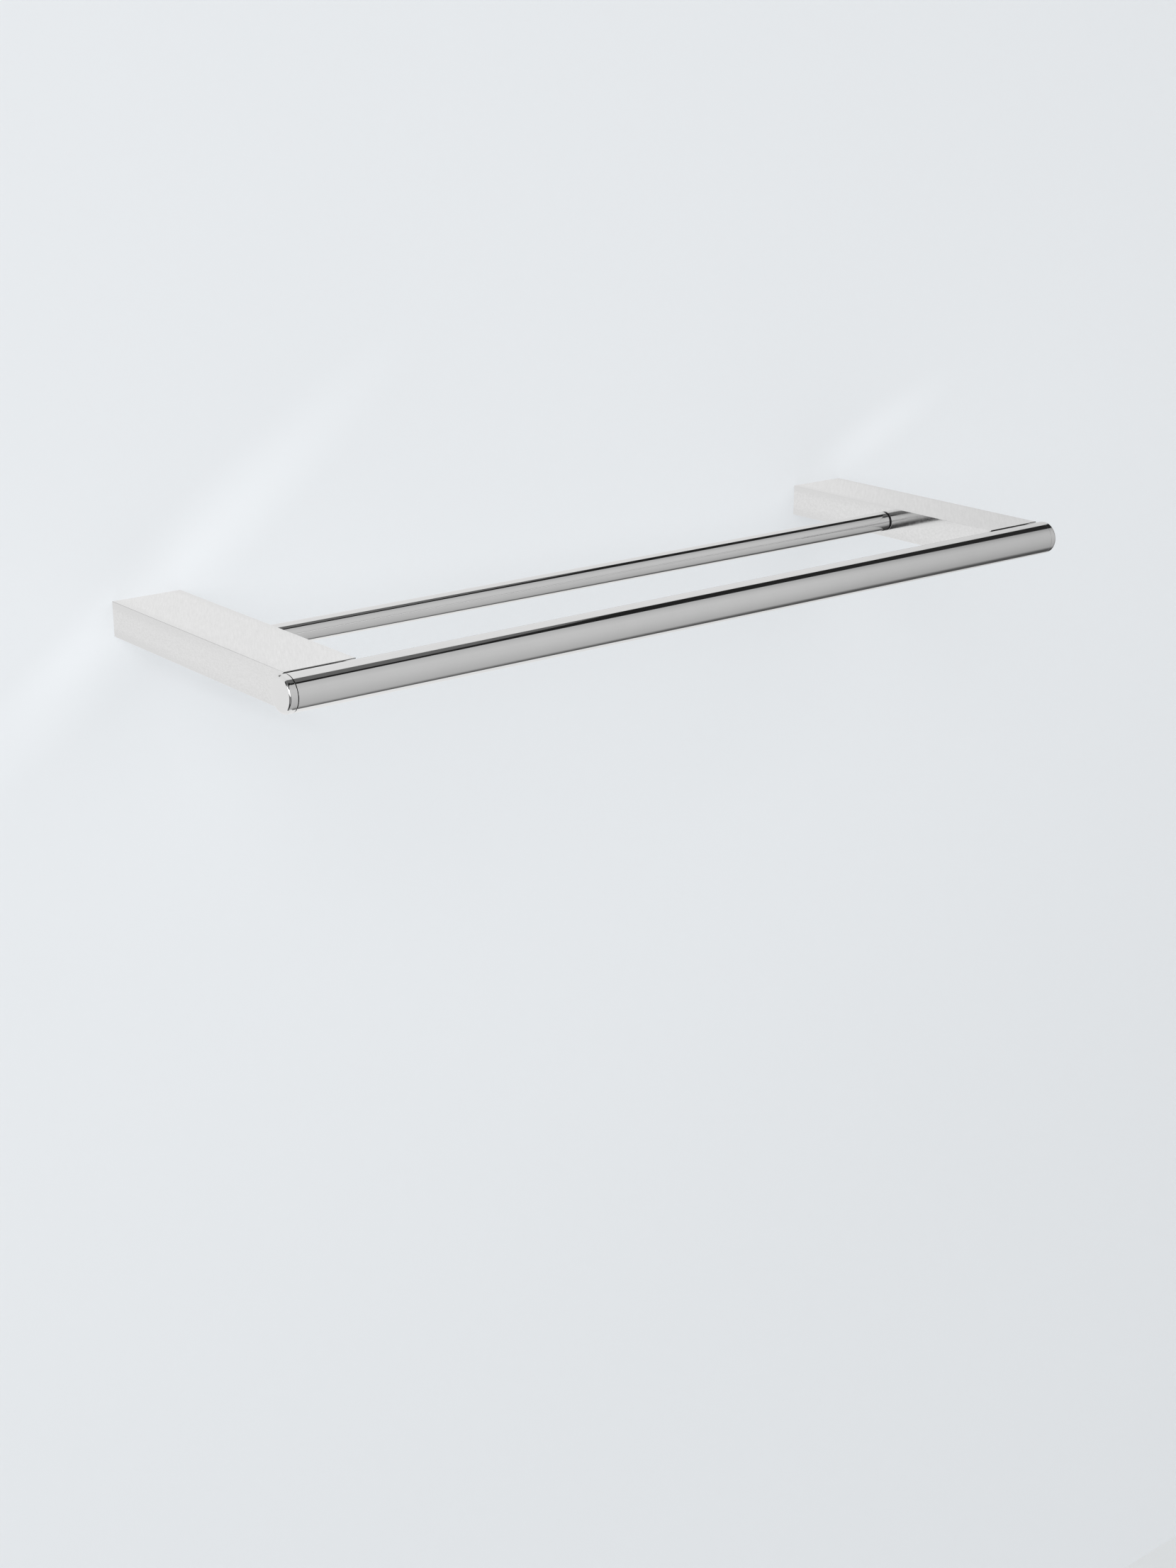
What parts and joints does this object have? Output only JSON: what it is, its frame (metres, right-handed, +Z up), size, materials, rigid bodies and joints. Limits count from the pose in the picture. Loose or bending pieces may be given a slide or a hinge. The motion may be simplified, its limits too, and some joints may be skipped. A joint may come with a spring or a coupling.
{
  "type": "double towel bar",
  "caption": "Wall-mounted towel bar: a thick round tube lies in saddles at the ends of hollow block arms, with a thinner round tube between the arms behind it, for hanging towels to dry.",
  "frame": {"origin": "on the wall plane, midway between the arms, level with the axes of both tubes", "axes": "+X to the right along the tubes, +Y into the wall (the bar stands out towards -Y), +Z up"},
  "size_m": [0.6104, 0.2054, 0.0216],
  "materials": {
    "arm_chrome": "polished, with a very fine grain",
    "tube_chrome": "mirror polished",
    "cap_chrome": "polished",
    "ring_rubber": "matte",
    "nut_brass": "turned",
    "screw_steel": "satin",
    "stud_steel": "turned",
    "bush_nylon": "moulded",
    "plate_zinc": "zinc plated"
  },
  "bodies": {
    "frame": {"arm_left": "arm_chrome", "arm_right": "arm_chrome", "front_bar": "tube_chrome", "end_cap_left": "cap_chrome", "end_cap_right": "cap_chrome", "cap_o_ring_left": "ring_rubber", "cap_o_ring_right": "ring_rubber", "saddle_nut_left": "nut_brass", "saddle_nut_right": "nut_brass", "lock_washer_left": "screw_steel", "lock_washer_right": "screw_steel", "saddle_screw_left": "screw_steel", "saddle_screw_right": "screw_steel", "rear_stud_left": "stud_steel", "rear_stud_right": "stud_steel", "rear_bush_left": "bush_nylon", "rear_bush_right": "bush_nylon", "wall_plate_left": "plate_zinc", "wall_plate_right": "plate_zinc", "grub_screw_left": "screw_steel", "grub_screw_right": "screw_steel"},
    "rear_rail": {"rear_bar": "tube_chrome"}
  },
  "joints": [
    {"name": "rear_rail_turn", "type": "hinge", "parent": "frame", "child": "rear_rail", "pos_m": [0, -0.0915, 0], "axis": [1, 0, 0], "continuous": true}
  ]
}
